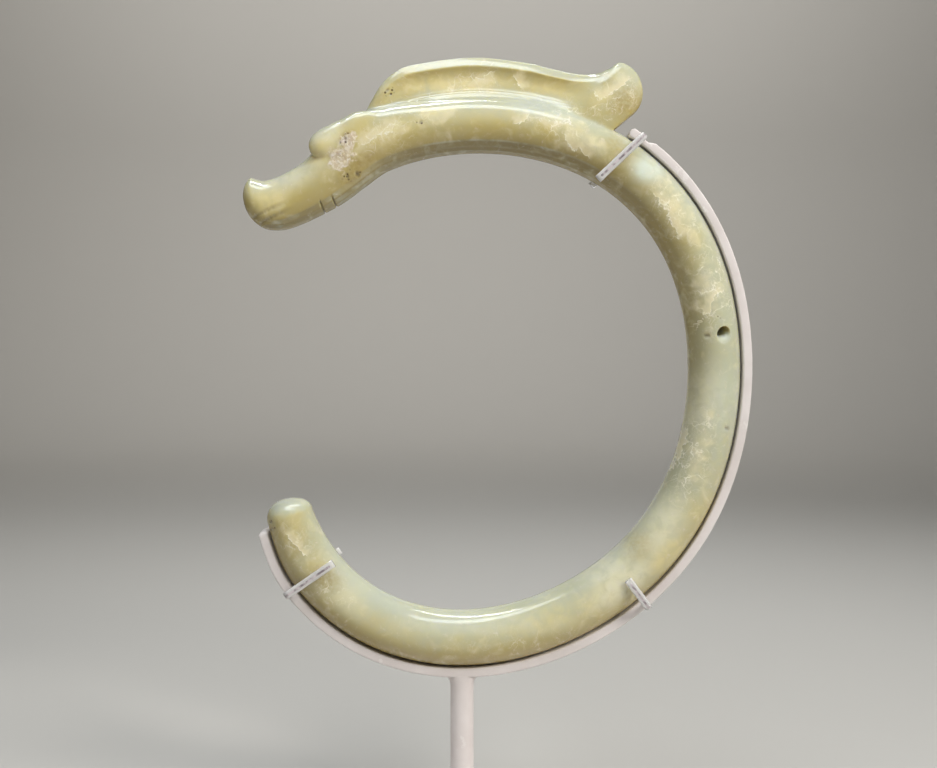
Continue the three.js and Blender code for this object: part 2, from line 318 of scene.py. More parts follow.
# the mane: edge x z, ring angle of its root, how round its section is, fullness
maneShape = {
    "ribs": (
        ((-42.4, 309), 113.4, 1, 0.7), ((-34.5, 322.8), 109.5, 0.8, 0.75),
        ((-27.7, 329.2), 106, 0.3, 0.75), ((-19.3, 332.2), 102.2, 0, 0.8), ((4, 335), 91.7, 0, 0.8),
        ((26, 333), 82.2, 0, 0.8), ((37.9, 330.3), 77.4, 0, 0.85), ((48, 328.2), 73.4, 0.35, 0.95),
        ((55.7, 328.1), 70.6, 0.8, 1.1), ((60.8, 330), 69, 1, 1.2), ((66.6, 332.9), 67.3, 1, 1.25),
        ((72.9, 329), 66, 1, 1.25), ((75.9, 320.4), 64.7, 1, 1.2), ((72.6, 312), 64.1, 1, 1.1),
        ((60.5, 303.5), 63.6, 1, 0.95),
    ),
    "rootHeight": 5,
    # from root to edge: share of the height, half thickness when grooved, when round, crisp or not
    "profile": (
        (0, 6.6, 4.6, False), (0.2, 6.5, 4.7, False), (0.28, 5.6, 4.75, False),
        (0.36, 4.4, 4.75, False), (0.44, 3.2, 4.7, False), (0.52, 2.5, 4.6, False),
        (0.62, 2.1, 4.35, False), (0.74, 2.5, 3.8, False), (0.835, 3.3, 3, True),
        (0.93, 1.75, 1.9, False), (1, 0.4, 0.4, False),
    ),
    "lines": (0.335, 0.375),  # two fine lines along the foot of the mane
    "lineDepth": 0.17,
    "lineWidth": 0.013,
    "steps": 190,
    "levels": 70,
}


def profileAt(at, column):
    rows = maneShape["profile"]
    k = max(i for i in range(len(rows) - 1) if rows[i][0] <= at)
    low = rows[k]
    high = rows[k + 1]
    width = high[0] - low[0]
    rise = (high[column] - low[column]) / width
    leave = rise
    arrive = rise
    if k > 0 and not low[3]:
        leave = (high[column] - rows[k - 1][column]) / (high[0] - rows[k - 1][0])
    if k + 2 < len(rows) and not high[3]:
        arrive = (rows[k + 2][column] - low[column]) / (rows[k + 2][0] - low[0])
    t = (at - low[0]) / width
    return hermite(low[column], high[column], leave * width, arrive * width, t)


def maneRings():
    edges = [Vector((edge[0], 0, edge[1])) for edge, root, roundness, fullness in maneShape["ribs"]]
    values = [Vector(rib[1:]) for rib in maneShape["ribs"]]
    stations = [k / maneShape["levels"] for k in range(maneShape["levels"] + 1)]
    grooved = []
    for at in stations:
        cut = sum(math.exp(-(((at - line) / maneShape["lineWidth"]) ** 2)) for line in maneShape["lines"])
        grooved.append(profileAt(at, 1) - maneShape["lineDepth"] * cut)
    rounded = [profileAt(at, 2) for at in stations]
    rings = []
    for k in range(maneShape["steps"] + 1):
        edge = splineAt(edges, k / maneShape["steps"])
        rootAngle, roundness, fullness = splineAt(values, k / maneShape["steps"])
        root = offsetPoint(rootAngle, maneShape["rootHeight"])
        roundness = clamp(roundness)
        front = []
        for i, at in enumerate(stations):
            point = root.lerp(edge, at)
            point.y = -fullness * mix(grooved[i], rounded[i], roundness)
            front.append(point)
        back = [Vector((point.x, -point.y, point.z)) for point in reversed(front)]
        rings.append(front + back)
    return capped(rings)


# the spindle eyes, blunt in front and drawn out behind into the nape: top x z, bottom x z, half depth
eyeShape = {
    "ribs": (
        ((-63.4, 296.9), (-63.4, 296.7), 0.2), ((-63.1, 299.2), (-62.5, 294.3), 2.7),
        ((-61.7, 301.5), (-60.3, 292.2), 4.4), ((-58.8, 303.9), (-56.4, 291.2), 5.5),
        ((-54.9, 305.9), (-51.8, 292.6), 5.6), ((-50.9, 307.7), (-47.4, 295.8), 5),
        ((-47.2, 309.2), (-43.6, 299.8), 4.2), ((-43.6, 310.6), (-41.2, 304.2), 3),
        ((-38.4, 310.2), (-38.4, 308.8), 0.6),
    ),
    "side": 6.4,
    "steps": 72,
    "sides": 52,
}


def eyeRings(side):
    tops, bottoms, depths = ribSplines(eyeShape["ribs"])
    rings = []
    for k in range(eyeShape["steps"] + 1):
        at = k / eyeShape["steps"]
        top = splineAt(tops, at)
        bottom = splineAt(bottoms, at)
        depth = splineAt(depths, at).x
        section = []
        for rise, out in circle(eyeShape["sides"]):
            point = (top + bottom) / 2 + (top - bottom) / 2 * rise
            point.y = side * eyeShape["side"] + depth * out
            section.append(point)
        rings.append(section)
    return capped(rings)


# where two forms meet, the carver left a small fillet instead of a knife line
filletReach = {
    "mane": 1.1,
    "eyeFront": 1,
    "eyeRear": 5.5,
    "rearFrom": -57,
    "rearTo": -46,
    "onForm": 0.05,
    "attempts": 3,
}


def nearForm(tree, point, reach):
    place, normal, index, distance = tree.find_nearest(point, reach)
    if place is None:
        return None, None
    if (point - place).dot(normal) < 0:
        distance = -distance
    return distance, normal


def maneReach(point):
    return filletReach["mane"] * mm


def eyeReach(point):
    rear = smoothStep(point.x / mm, filletReach["rearFrom"], filletReach["rearTo"])
    return mix(filletReach["eyeFront"], filletReach["eyeRear"], rear) * mm


def softenJoin(piece, treeA, treeB, reachAt):
    moved = 0
    for vertex in piece.data.vertices:
        point = vertex.co.copy()
        reach = reachAt(point)
        nearA, normalA = nearForm(treeA, point, reach)
        nearB, normalB = nearForm(treeB, point, reach)
        # only points that lie on one of these two forms and close to the other
        if nearA is None or nearB is None or min(nearA, nearB) > filletReach["onForm"] * mm:
            continue
        for attempt in range(filletReach["attempts"]):
            share = max(reach - abs(nearA - nearB), 0) / reach
            height = min(nearA, nearB) - share * share * reach / 4
            lean = share / 2 if nearA > nearB else 1 - share / 2
            push = (normalA * lean + normalB * (1 - lean)).normalized()
            point = point - push * height
            nearA, normalA = nearForm(treeA, point, 2 * reach)
            nearB, normalB = nearForm(treeB, point, 2 * reach)
        vertex.co = point
        moved += 1
    return moved


# cuts and small damage on the surface, x and z on the face that shows
reliefShape = {
    "jawCuts": (((-58.8, 274.8), (-57.2, 269)), ((-53.8, 276.6), (-52.2, 271))),
    "jawCutDepth": 0.8,
    "jawCutHalfWidth": 0.45,
    "jawCutRise": 0.2,  # share of its length over which a cut deepens, to run on under the jaw
    "mouthLines": (
        ((-86.8, 267.6), (-78.5, 271.3), (-68.5, 275)),
        ((-83.8, 265.3), (-77, 268.3), (-67, 272.7)),
    ),
    "mouthDepth": 0.55,
    "mouthDarkening": 0.35,
    "mouthHalfWidth": 1.1,
    "mouthRunOut": (0.2, 1),  # share of its last stretch over which each line runs out
    "frontPits": (  # x, z, half length, half width, depth
        (101.6, 218.6, 1.5, 0.9, 0.6), (110.2, 180.3, 2, 0.7, 0.5), (-47.3, 284.6, 1, 0.9, 0.6),
        (-43.2, 285.4, 1.2, 1, 0.6), (-17.1, 306.5, 1, 0.9, 0.5), (-31.1, 321.2, 0.9, 0.8, 0.4),
        (-29.7, 319.4, 0.8, 0.7, 0.4), (-47.7, 299.7, 1.5, 1.1, 0.4), (-49.8, 297.8, 1, 1, 0.35),
        (-79.9, 140.6, 1.1, 0.9, 0.45), (-79.1, 137.2, 1, 0.9, 0.45), (-70.8, 135.5, 1.1, 0.7, 0.3),
        (106.6, 227.2, 0.9, 0.8, 0.3),
    ),
    "backPits": (
        (96, 246, 1.1, 0.9, 0.45), (-36, 102, 1.3, 0.8, 0.4), (-45, 290, 1, 0.9, 0.45),
    ),
    "pitPower": 1.5,
    "cutDarkeningFrom": 0.12,  # shallower cuts are not darkened
    "cutDarkeningFull": 0.4,  # a cut this deep is darkened fully
    "hollows": 0.07,  # slow unevenness of a hand polished face
    "hollowSize": 15,
    "crystal": 0.22,  # grain of the sugary patch
    "crystalSize": 1.1,
    "sharpAngle": 55,  # degrees
}


def lineDistance(point, start, end):
    along = end - start
    t = (point - start).dot(along) / along.length_squared
    clear = start + along * clamp(t)
    return (point - clear).length, t


def mouthAt(point):
    flat = Vector((point.x, point.z))
    cut = 0
    for route in reliefShape["mouthLines"]:
        for start, end in zip(route, route[1:]):
            distance, t = lineDistance(flat, Vector(start), Vector(end))
            edge = max(0, 1 - distance / reliefShape["mouthHalfWidth"])
            if end == route[-1]:
                edge *= 1 - smoothStep(t, *reliefShape["mouthRunOut"])
            cut = max(cut, reliefShape["mouthDepth"] * edge * edge)
    return cut


def cutAt(point):
    flat = Vector((point.x, point.z))
    cut = 0
    for start, end in reliefShape["jawCuts"]:
        distance, t = lineDistance(flat, Vector(start), Vector(end))
        edge = max(0, 1 - distance / reliefShape["jawCutHalfWidth"])
        deepening = smoothStep(t, 0, reliefShape["jawCutRise"])
        cut = max(cut, reliefShape["jawCutDepth"] * edge * deepening)
    pits = reliefShape["frontPits"] if point.y < 0 else reliefShape["backPits"]
    for x, z, halfLength, halfWidth, depth in pits:
        away = ((point.x - x) / halfLength) ** 2 + ((point.z - z) / halfWidth) ** 2
        if away < 1:
            cut = max(cut, depth * (1 - away) ** reliefShape["pitPower"])
    return cut


def reliefAt(point, crystal):
    slow = noise.noise(point / reliefShape["hollowSize"]) * reliefShape["hollows"]
    grain = noise.noise(point / reliefShape["crystalSize"]) * reliefShape["crystal"] * crystal
    return slow + grain - max(cutAt(point), mouthAt(point))


stoneLayers = ("cream", "veins", "crystal", "pale", "milk", "honey", "stain", "speck")

# colour patches of the stone: x, z, half length, half width, tilt in degrees, strength
patchShape = {
    "cream": (
        (89.5, 271, 9, 5.2, -58, 0.8), (82.5, 280, 6.5, 5, -50, 0.8),
        (94.8, 261, 6, 2.6, -62, 0.85), (49, 299.5, 12, 7, -25, 0.85),
        (38, 307.5, 9, 5.5, -20, 0.8), (-33, 299.5, 13, 5.5, 27, 0.85),
        (-10.3, 309.5, 11, 4.5, 8, 0.85), (3, 325, 9, 3.4, 15, 0.75),
        (101.5, 236, 10, 6.5, -75, 0.85), (97.5, 170, 17, 4.6, 72, 0.62),
        (-55, 284, 7, 3.5, 30, 0.45), (-72, 132, 7, 3.4, -55, 0.15),
    ),
    "veins": (
        (103.5, 241, 20, 8.5, -76, 1), (96.7, 169, 21, 7.5, 72, 1), (62, 316, 13, 9, 30, 0.7),
        (40, 309, 16, 9, -20, 1), (4, 324, 13, 5, 10, 0.85), (-30, 303, 19, 8, 22, 0.8),
        (88, 270, 15, 8, -58, 0.9), (-53, 112, 8, 5, -40, 0.8), (-70, 133, 10, 6, -55, 0.5),
        (30, 90, 40, 8, 0, 0.35),
    ),
    "crystal": ((-49.8, 291.6, 6, 4.4, 40, 1), (-46.6, 298.6, 5, 3.4, 62, 0.85)),
    "pale": (
        (76.2, 287.2, 7, 6, 0, 1), (110, 190, 16, 8, 88, 0.3), (34, 313, 16, 5, -15, 0.6),
        # the last pale patch, at the worn lip of the hole, is a painted highlight
        (68, 322, 9, 6, 40, 0.25), (108.6, 218.7, 2.4, 1.6, 30, 1),
    ),
    "milk": (
        (-70, 285, 17, 6.5, 27, 0.75), (-56.5, 299.5, 9, 7, 30, 0.85), (8, 311, 30, 4, 0, 0.2),
        (66, 115, 17, 8, 36, 0.95), (61, 121.5, 13, 7.5, 36, 1), (83, 139, 15, 8, 56, 0.8),
        (100, 190, 18, 7, 78, 0.6), (-50, 112, 16, 7, -42, 0.5), (9, 98, 40, 5, 0, 0.45),
    ),
    "honey": (
        (-57.5, 294.2, 7, 4.6, 25, 1), (-79, 274, 9, 5.5, 22, 0.6), (-4, 324, 24, 4.2, 3, 0.8),
        (40, 321, 14, 4, -12, 0.5), (58, 318, 6, 5, 30, 0.6), (88, 268, 8, 4, -58, 0.5),
        (-30, 301, 12, 5, 25, 0.4), (86, 127, 9, 5, 48, 0.7), (40, 103, 16, 6, 15, 0.4),
    ),
    "stain": (
        (-57, 117.6, 8, 6, -30, 0.8), (64, 296, 7, 5, -45, 0.6), (47, 294.5, 7, 3, -15, 0.8),
        (-46, 284.6, 8, 3.4, 25, 0.9), (-40.5, 291, 8, 4.2, 32, 1), (-47, 300.2, 3.4, 2.4, 40, 0.9),
        (73, 131, 8, 5, 40, 0.5), (68.5, 315.5, 8, 7, 60, 1), (60, 325, 6, 3.5, -40, 0.45),
        (-68, 133, 9, 7, -55, 0.45),
    ),
    "speck": (
        (-30.6, 320.6, 2.6, 2.4, 0, 1), (-47.6, 299.4, 3.2, 2.2, 40, 1),
        (-79.4, 139, 3.4, 1.9, 75, 1), (-45.4, 285, 5, 2.6, 15, 0.8),
        (-17.1, 306.3, 1.8, 1.5, 0, 0.9), (106.4, 227, 2, 1.6, 0, 0.7),
        (-16.6, 299, 2.4, 1.6, 0, 0.7),
    ),
    "backTurn": -17,  # the far side carries the same kinds of patch, turned on round the C
    "core": 0.25,  # half sizes from its middle where a patch starts to fade
    "edge": 1.45,  # and where it ends
    "farOff": 3,  # half lengths or reaches past which a patch or a crack is passed over
    # yellower stone by ring angle; the yellower tone where the surface looks down is painted shade, and the
    # cooler tone where it looks up is painted light
    "warmth": (
        (-150, 0.5), (-110, 0.4), (-60, 0.48), (-40, 0.4), (-10, 0.22), (10, 0.18),
        (30, 0.32), (55, 0.45), (75, 0.55), (114, 0.6), (180, 0.66),
    ),
    "belowShadeWarmth": 0.34,
    "belowShadeFacing": (-0.3, 0.8),
    "aboveLightCool": 0.45,
    "aboveLightFacing": (0.2, 0.9),
    "shadedSide": (-0.5, 0, -0.85),  # painted shade: faces turned this way, down and to the left, are darkened the most
    "sideShadeFacing": (-0.2, 0.9),
    "jawSide": (0.35, 0, -0.93),  # the underside of the head
    "jawFrom": -38,
    # painted shade on the down-facing inner flats, and painted highlight lines on their arrises
    "rimShadeFacing": (0.58, 0.68),
    "rimShadeFade": (85, 30),
    "arrisHighlightWidth": 0.022,
    # healed cracks: x z along each one, with the paler stone on the right of the way it runs
    "cracks": (
        ((91.4, 257.4), (86.8, 264.7), (84.5, 270.7), (76.2, 278.5)),
        ((108.4, 239), (105.2, 234.4), (100.6, 226.6), (96.9, 231.2)),
        ((52.4, 290.4), (50, 294.5), (42.9, 296.8), (41.2, 303.3)),
        ((29.4, 310.4), (25, 306), (21.7, 304.5)),
        ((-27.2, 308), (-29, 302.2), (-36.6, 299.8), (-42.5, 295.1)),
        ((3.4, 325.1), (9.4, 327.5), (14, 328.9)), ((24.1, 321.2), (23.5, 325), (21, 327.4)),
        ((70.6, 326.9), (67.1, 322.2), (60, 317.4), (57.1, 315.1), (53.5, 322.2)),
        ((96, 182), (93.5, 172), (88, 161), (80, 153)), ((-64, 126), (-70, 131), (-74, 138)),
    ),
    "crackReach": 8,
    "crackCore": 4,
    "crackEnds": 0.15,  # share of its length over which a crack fades at each end
}


def turnOf(point):
    x, z = ringShape["centre"]
    return math.atan2(point.z - z, point.x - x)


def warmthAndShadeAmount(point, normal):
    angle = math.degrees(turnOf(point))
    rows = patchShape["warmth"]
    k = max(i for i in range(len(rows) - 1) if rows[i][0] <= max(angle, rows[0][0]))
    share = (angle - rows[k][0]) / (rows[k + 1][0] - rows[k][0])
    warm = mix(rows[k][1], rows[k + 1][1], share)
    # painted shade: faces that look down turn yellower and deeper olive
    warm += patchShape["belowShadeWarmth"] * smoothStep(-normal.z, *patchShape["belowShadeFacing"])
    # painted light: faces that look up turn cooler and greener
    return warm - patchShape["aboveLightCool"] * smoothStep(normal.z, *patchShape["aboveLightFacing"])


def stoneSpot(point):
    if point.y <= 0:
        return point.x, point.z
    turn = math.radians(patchShape["backTurn"])
    middleX, middleZ = ringShape["centre"]
    x = point.x - middleX
    z = point.z - middleZ
    flatX = x * math.cos(turn) - z * math.sin(turn) + middleX
    flatZ = x * math.sin(turn) + z * math.cos(turn) + middleZ
    return flatX, flatZ


def patchAmount(kind, point):
    flatX, flatZ = stoneSpot(point)
    most = 0
    for x, z, halfLength, halfWidth, tilt, strength in patchShape[kind]:
        dx = flatX - x
        dz = flatZ - z
        if abs(dx) + abs(dz) > patchShape["farOff"] * halfLength:
            continue
        turn = math.radians(tilt)
        along = (dx * math.cos(turn) + dz * math.sin(turn)) / halfLength
        across = (dz * math.cos(turn) - dx * math.sin(turn)) / halfWidth
        away = math.sqrt(along * along + across * across)
        most = max(most, strength * (1 - smoothStep(away, patchShape["core"], patchShape["edge"])))
    return most


def rimShadeAmount(point, normal):
    # painted shade on the ground flats along the inner edge where they face down under the arch and jaw,
    # and painted highlights on the arrises between them
    turn = turnOf(point)
    inward = Vector((-math.cos(turn), 0, -math.sin(turn)))
    if point.x < patchShape["jawFrom"] and point.z > ringShape["centre"][1]:
        inward = Vector(patchShape["jawSide"]).normalized()
    fade = 1 - smoothStep(math.degrees(turn), *patchShape["rimShadeFade"])
    facing = normal.dot(inward)
    step = 2 * math.pi / ringShape["sides"]
    arrisHighlight = 0
    for k in ringShape["flats"][1:]:
        off = (facing - math.cos(k * step)) / patchShape["arrisHighlightWidth"]
        arrisHighlight = max(arrisHighlight, math.exp(-(off**2)))
    return fade * smoothStep(facing, *patchShape["rimShadeFacing"]), fade * arrisHighlight


def crackAt(point):
    # signed distance over the reach, and how much of the crack there is here
    flat = Vector(stoneSpot(point))
    reach = patchShape["crackReach"]
    ends = patchShape["crackEnds"]
    nearest = reach
    side = 0
    fade = 0
    for route in patchShape["cracks"]:
        spots = [Vector(spot) for spot in route]
        if (flat - spots[1]).length > patchShape["farOff"] * reach:
            continue
        for k in range(len(spots) - 1):
            distance, t = lineDistance(flat, spots[k], spots[k + 1])
            if distance < nearest:
                along = spots[k + 1] - spots[k]
                offset = flat - spots[k]
                nearest = distance
                side = math.copysign(distance, along.y * offset.x - along.x * offset.y)
                walked = (k + clamp(t)) / (len(spots) - 1)
                fade = smoothStep(walked, 0, ends) * (1 - smoothStep(walked, 1 - ends, 1))
                fade *= 1 - smoothStep(distance, patchShape["crackCore"], reach)
    return side / reach, fade


def cutDarkeningAmount(point):
    # darkens the mouth lines, the jaw cuts and the pits by their depth
    mouth = reliefShape["mouthDarkening"] * mouthAt(point) / reliefShape["mouthDepth"]
    cut = smoothStep(cutAt(point), reliefShape["cutDarkeningFrom"], reliefShape["cutDarkeningFull"])
    return max(mouth, cut)


def paintStone(piece):
    mesh = piece.data
    places = [vertex.co / mm for vertex in mesh.vertices]
    normals = [vertex.normal.copy() for vertex in mesh.vertices]
    shadedSide = Vector(patchShape["shadedSide"]).normalized()
    rimShades = [rimShadeAmount(place, normal) for place, normal in zip(places, normals)]
    layers = {kind: [patchAmount(kind, place) for place in places] for kind in stoneLayers}
    # stone tone by ring angle, with painted shade below and painted light above
    layers["warm"] = [warmthAndShadeAmount(place, normal) for place, normal in zip(places, normals)]
    # painted shade on faces turned down and to the left
    layers["sideShade"] = [smoothStep(normal.dot(shadedSide), *patchShape["sideShadeFacing"]) for normal in normals]
    # painted shade on the inner flats and painted highlights on their arrises
    layers["rimShade"], layers["arrisHighlight"] = zip(*rimShades)
    layers["crackSide"], layers["crack"] = zip(*[crackAt(place) for place in places])
    layers["cutDarkening"] = [cutDarkeningAmount(place) for place in places]
    for kind, amounts in layers.items():
        layer = mesh.attributes.new(kind + "Paint", "FLOAT", "POINT")
        layer.data.foreach_set("value", amounts)


# drilled hole from both faces, and the two small nostrils
holeShape = {
    "angle": 12.2,
    "offset": 0.6,
    "tilt": 9,
    # depth from the middle, radius, how far the ring slips towards the worn lip
    "profile": (
        (0, 1.4, 0), (4, 1.8, 0), (7, 2.1, 0.1), (8.4, 2.3, 0.4), (9.4, 2.6, 1), (10.1, 3.1, 1.7),
        (10.7, 3.8, 2.3), (13, 8, 3),
    ),
    "lip": (0.5, -0.85),  # x and z
    "sides": 64,
}
nostrilShape = {
    "x": -91.5,
    "z": 279,
    "side": 2.9,
    "radius": 1.3,
    "depth": 1.8,
    "sides": 32,
    "steps": 10,
}


def holeRings():
    place = offsetPoint(holeShape["angle"], holeShape["offset"])
    slant = Matrix.Rotation(math.radians(holeShape["tilt"]), 3, "Z")
    profile = [(-depth, radius, slip) for depth, radius, slip in reversed(holeShape["profile"])]
    profile += list(holeShape["profile"][1:])
    rings = []
    for depth, radius, slip in profile:
        section = []
        for along, up in circle(holeShape["sides"]):
            x = slip * holeShape["lip"][0] + radius * along
            z = slip * holeShape["lip"][1] + radius * up
            section.append(slant @ Vector((x, depth, z)) + place)
        rings.append(section)
    return capped(rings)


def nostrilRings(side):
    y = side * nostrilShape["side"]
    z = nostrilShape["z"]
    rings = []
    for k in range(1, nostrilShape["steps"]):
        turn = math.pi * k / nostrilShape["steps"]
        reach = nostrilShape["radius"] * math.sin(turn)
        x = nostrilShape["x"] - nostrilShape["depth"] * math.cos(turn)
        around = circle(nostrilShape["sides"])
        rings.append([Vector((x, y + reach * across, z + reach * up)) for across, up in around])
    return capped(rings)


def buildDragon():
    dragon = makePiece("jadeDragon", headRings() + bodyRings())
    mane = makePiece("maneForm", maneRings())
    bodyTree = treeOf(dragon)
    maneTree = treeOf(mane)
    combine(dragon, mane, "UNION")
    eyeTrees = []
    for side in (-1, 1):
        eye = makePiece("eyeForm", eyeRings(side))
        eyeTrees.append(treeOf(eye))
        combine(dragon, eye, "UNION")
    print("dragon joined:", len(dragon.data.polygons), "faces")
    softened = softenJoin(dragon, bodyTree, maneTree, maneReach)
    for eyeTree in eyeTrees:
        softened += softenJoin(dragon, bodyTree, eyeTree, eyeReach)
    print("dragon fillets:", softened, "points")

    mesh = dragon.data
    normals = [vertex.normal.copy() for vertex in mesh.vertices]
    for vertex, normal in zip(mesh.vertices, normals):
        place = vertex.co / mm
        vertex.co += normal * (reliefAt(place, patchAmount("crystal", place)) * mm)
    for side in (-1, 1):
        combine(dragon, makePiece("nostrilForm", nostrilRings(side)), "DIFFERENCE")
    combine(dragon, makePiece("holeForm", holeRings()), "DIFFERENCE")
    dragon.data.shade_smooth()
    dragon.data.set_sharp_from_angle(angle=math.radians(reliefShape["sharpAngle"]))
    paintStone(dragon)
    return dragon


# the cradle: rail outside the C, stem and foot
railShape = {
    "from": -144,
    "to": 59.6,
    "gap": 0.35,
    "thickness": 4.05,
    "depth": 9.6,
    "edge": 0.8,
    "notchFrom": 54.9,  # filed seat beside the upper prong
    "notchTo": 56.6,
    "notchRuns": (0.5, 0.4),  # half the length of its two ramps, in degrees
    "notchDepth": 1.5,
    "steps": 330,
    "edgeSteps": 4,
    "endSteps": 4,
}


def roundedBar(halfA, halfB, radius, steps):
    outline = []
    for quarter in range(4):
        signA = 1 if quarter in (0, 3) else -1
        signB = 1 if quarter in (0, 1) else -1
        for k in range(steps + 1):
            turn = 0.5 * math.pi * (quarter + k / steps)
            a = signA * (halfA - radius) + radius * math.cos(turn)
            b = signB * (halfB - radius) + radius * math.sin(turn)
            outline.append((a, b))
    return outline


def railSection(angle, inset):
    lift = bodyOutside(angle) + railShape["gap"]
    runIn, runOut = railShape["notchRuns"]
    notch = smoothStep(angle, railShape["notchFrom"] - runIn, railShape["notchFrom"] + runIn)
    notch *= 1 - smoothStep(angle, railShape["notchTo"] - runOut, railShape["notchTo"] + runOut)
    thickness = railShape["thickness"] - notch * railShape["notchDepth"]
    halfThickness = thickness / 2 - inset
    halfDepth = railShape["depth"] / 2 - inset
    edge = railShape["edge"]
    section = []
    for out, across in roundedBar(halfThickness, halfDepth, edge, railShape["edgeSteps"]):
        point = offsetPoint(angle, lift + thickness / 2 + out)
        point.y = across
        section.append(point)
    return section


def buildRail():
    edge = railShape["edge"]
    endTurn = math.degrees(edge / ringShape["radius"])
    rings = []
    end = []
    for level, out in quarterTurn(railShape["endSteps"])[:-1]:
        rings.append(railSection(railShape["from"] + endTurn * out, edge * (1 - out)))
        end.append(railSection(railShape["to"] - endTurn * out, edge * (1 - out)))
    for k in range(railShape["steps"] + 1):
        angle = mix(railShape["from"] + endTurn, railShape["to"] - endTurn, k / railShape["steps"])
        rings.append(railSection(angle, 0))
    return makePiece("cradleRail", capped(rings + end[::-1]))


stemShape = {
    "radius": 5,
    "flare": 5,
    "flareHeight": 5.5,
    "bury": 0.9,  # how far its top runs into the rail
    "under": (-110, -79),  # ring angles that take in the lowest stretch of the rail
    "footFillet": 1.1,
    "sides": 56,
    "flareSteps": 12,
}
footShape = {
    "width": 130,
    "depth": 92,
    "height": 7,
    "corner": 9,
    "edge": 1,
    "edgeSteps": 5,
    "cornerSteps": 14,
}


def stemRing(height, spreadX, spreadY):
    radiusX = stemShape["radius"] + spreadX
    radiusY = stemShape["radius"] + spreadY
    return [Vector((radiusX * x, radiusY * y, height)) for x, y in circle(stemShape["sides"])]


def buildStem():
    railHeights = [point.z for angle in range(*stemShape["under"]) for point in railSection(angle, 0)]
    top = min(railHeights) + stemShape["bury"]
    fillet = stemShape["footFillet"]
    rings = []
    for level, out in quarterTurn(stemShape["flareSteps"]):
        spread = fillet * (1 - out)
        rings.append(stemRing(footShape["height"] + fillet * (1 - level), spread, spread))
    for level, out in quarterTurn(stemShape["flareSteps"]):
        height = top - stemShape["flareHeight"] * (1 - out)
        rings.append(stemRing(height, stemShape["flare"] * (1 - level), 0))
    return makePiece("cradleStem", capped(rings))


def footRing(height, inset):
    halfWidth = footShape["width"] / 2 - inset
    halfDepth = footShape["depth"] / 2 - inset
    outline = roundedBar(halfWidth, halfDepth, footShape["corner"] - inset, footShape["cornerSteps"])
    return [Vector((x, y, height)) for x, y in outline]


def buildFoot():
    edge = footShape["edge"]
    under = []
    above = []
    for level, out in quarterTurn(footShape["edgeSteps"]):
        under.append(footRing(edge * (1 - out), edge * (1 - level)))
        above.append(footRing(footShape["height"] - edge * (1 - out), edge * (1 - level)))
    return makePiece("cradleFoot", capped(under[::-1] + above))


# prongs: a bent pin in a clear sleeve that runs on past its end
prongShape = {
    "clearance": 0.7,
    "thickness": 1.9,
    "width": 3.3,
    "corner": 0.8,
    "pinThickness": 1.96,  # the sleeve is pulled so tight that the pin shows flush in its faces
    "pinWidth": 1.3,
    "pinCorner": 0.35,
    "sleeveFrom": 2,  # route steps of bare pin before the sleeve
    "sleeveRun": 1.7,  # clear sleeve beyond the pin
    "legBury": 0.4,
    "bend": 1.6,
    "bendSteps": 10,
    "barSteps": 16,
    "edgeSteps": 5,
    # ring angle of the leg, of the tip, reach past the centreline
    "places": {
        "lower_left": (-131.3, -130.6, 10.3),
        "lower_right": (-54.5, -54, 0.6),
        "top_right": (57.1, 60.4, 11.4),
    },
}


def prongRoute(span, barMiddle):
    # spots in the plane of the bend as inward and away from the rail, each with its heading
    bend = prongShape["bend"]
    route = [((0, railShape["depth"] / 2 - prongShape["legBury"]), (0, 1))]
    for level, out in quarterTurn(prongShape["bendSteps"]):
        route.append(((bend * (1 - level), barMiddle - bend + bend * out), (out, level)))
    for k in range(1, prongShape["barSteps"] + 1):
        route.append(((mix(bend, span, k / prongShape["barSteps"]), barMiddle), (1, 0)))
    return route


def sweepProng(name, route, placing, halfWidth, halfThickness, radius):
    rings = []
    for spot, heading in route:
        section = []
        for across, out in roundedBar(halfWidth, halfThickness, radius, prongShape["edgeSteps"]):
            inward = spot[0] - heading[1] * out
            away = spot[1] + heading[0] * out
            section.append(placing @ Vector((inward, away, across)))
        rings.append(section)
    return makePiece(name, capped(rings))


def buildProngs(pinLook, sleeveLook):
    made = 0
    barMiddle = ringShape["halfDepth"] + prongShape["clearance"] + prongShape["thickness"] / 2
    for place, (legAngle, tipAngle, reach) in prongShape["places"].items():
        lift = bodyOutside(legAngle) + railShape["gap"] + railShape["thickness"] / 2
        leg = offsetPoint(legAngle, lift)
        tip = offsetPoint(tipAngle, -reach)
        inward = (tip - leg).normalized()
        span = (tip - leg).length
        for face, side in (("front", -1), ("back", 1)):
            away = Vector((0, side, 0))
            across = inward.cross(away)
            placing = Matrix((inward, away, across)).transposed().to_4x4()
            placing.translation = leg
            label = face.capitalize() + place.title().replace("_", "")
            pin = sweepProng(
                "prongPin" + label, prongRoute(span - prongShape["sleeveRun"], barMiddle), placing,
                prongShape["pinWidth"] / 2, prongShape["pinThickness"] / 2, prongShape["pinCorner"])
            settle(pin, pinLook, "prong_sleeve", "prong_" + face + "_" + place)
            sleeve = sweepProng(
                "prongSleeve" + label, prongRoute(span, barMiddle)[prongShape["sleeveFrom"]:], placing,
                prongShape["width"] / 2, prongShape["thickness"] / 2, prongShape["corner"])
            settle(sleeve, sleeveLook, "prong_sleeve")
            made += 1
    return made


# shader helpers

def plug(tree, socket, value):
    if isinstance(value, bpy.types.NodeSocket):
        tree.links.new(value, socket)
    else:
        socket.default_value = value


def addNode(tree, kind, inputs=None, **settings):
    made = tree.nodes.new(kind)
    for key, value in settings.items():
        setattr(made, key, value)
    for key, value in (inputs or {}).items():
        plug(tree, made.inputs[key], value)
    return made


